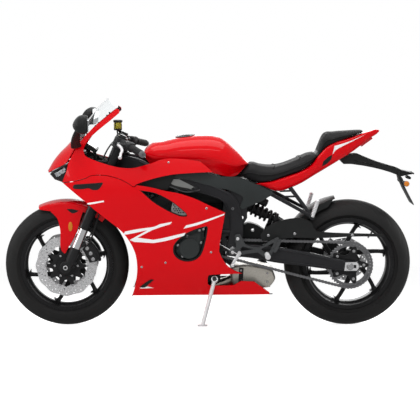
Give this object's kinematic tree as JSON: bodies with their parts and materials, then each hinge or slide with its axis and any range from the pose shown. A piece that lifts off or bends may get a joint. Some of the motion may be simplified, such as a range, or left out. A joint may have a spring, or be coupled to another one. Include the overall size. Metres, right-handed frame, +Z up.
{
  "type": "sport motorcycle",
  "caption": "Fully faired sport motorcycle with clear screen, step seat, cast wheels and low clip-on bars, leaning on its side stand.",
  "frame": {"origin": "on the ground under the middle of the parked machine, midway between the wheel axles along X", "axes": "+X points to the rear of the machine, -X to its front, -Y to its left side, +Z up; the machine leans 9 degrees to -Y on its side stand"},
  "size_m": [2.0043, 0.7731, 1.1135],
  "materials": {
    "black_frame": "satin black paint",
    "engine_metal": "matte dark grey casting",
    "cover_grey": "matte graphite paint",
    "radiator_metal": "black fins",
    "exhaust_steel": "heat-tinted steel tube",
    "titanium": "dull grey titanium",
    "red_paint": "gloss red paint with white stripes",
    "cap_black": "black anodised",
    "seat_leather": "black grained cover",
    "lens_red": "red lens",
    "black_plastic": "grained black",
    "clear_screen": "clear, slightly smoked",
    "lens_clear": "clear lens over grey reflectors",
    "shock_black": "black spring and body",
    "chain_steel": "oiled steel",
    "bare_alloy": "satin silver",
    "caliper_black": "black anodised",
    "fork_metal": "black tubes with bright sliders",
    "grip_rubber": "ribbed black",
    "reservoir": "translucent pot with black cap",
    "tyre": "black tread rubber",
    "wheel_black": "gloss black casting",
    "disc_steel": "ground steel",
    "sprocket_steel": "steel ring on a black carrier"
  },
  "bodies": {
    "chassis": {"frame": "black_frame", "subframe": "black_frame", "engine": "engine_metal", "engine_covers": "cover_grey", "radiator": "radiator_metal", "exhaust_headers": "exhaust_steel", "muffler": "titanium", "fuel_tank": "red_paint", "fuel_cap": "cap_black", "rider_seat": "seat_leather", "passenger_seat": "seat_leather", "tail_cowl": "red_paint", "tail_light": "lens_red", "plate_hanger": "black_plastic", "rear_indicators": "black_plastic", "nose_fairing": "red_paint", "windscreen": "clear_screen", "headlights": "lens_clear", "cockpit_trim": "black_plastic", "front_stay": "black_frame", "side_fairing_left": "red_paint", "side_fairing_right": "red_paint", "belly_pan": "red_paint", "mirrors": "black_plastic", "dashboard": "black_plastic", "side_covers": "black_plastic", "swingarm": "black_frame", "shock_absorber": "shock_black", "chain": "chain_steel", "rear_hugger": "black_plastic", "rider_footrests": "black_frame", "foot_levers": "bare_alloy", "passenger_footrests": "black_frame", "rear_caliper": "caliper_black"},
    "steering": {"brake_hoses": "grip_rubber", "triple_clamps": "caliper_black", "fork_legs": "fork_metal", "handlebars": "grip_rubber", "hand_levers": "bare_alloy", "fluid_reservoir": "reservoir", "front_fender": "red_paint", "front_calipers": "caliper_black"},
    "front_wheel": {"front_tyre": "tyre", "front_wheel": "wheel_black", "front_discs": "disc_steel"},
    "rear_wheel": {"rear_tyre": "tyre", "rear_wheel": "wheel_black", "rear_sprocket": "sprocket_steel", "rear_disc": "disc_steel"},
    "side_stand": {"side_stand": "bare_alloy"}
  },
  "joints": [
    {"name": "steering", "type": "hinge", "parent": "chassis", "child": "steering", "pos_m": [-0.43828, 0.03185, 0.78486], "axis": [0.3907, -0.144, 0.9092], "range_deg": [-25, 25]},
    {"name": "front_wheel_spin", "type": "hinge", "parent": "steering", "child": "front_wheel", "pos_m": [-0.69, 0.1086, 0.30025], "axis": [0, 0.9877, 0.1564], "continuous": true},
    {"name": "rear_wheel_spin", "type": "hinge", "parent": "chassis", "child": "rear_wheel", "pos_m": [0.69, 0.10719, 0.30914], "axis": [0, 0.9877, 0.1564], "continuous": true},
    {"name": "stand_fold", "type": "hinge", "parent": "chassis", "child": "side_stand", "pos_m": [0.033, -0.02404, 0.22356], "axis": [-0.0984, -0.9522, 0.2891], "range_deg": [0, 104.7]}
  ]
}
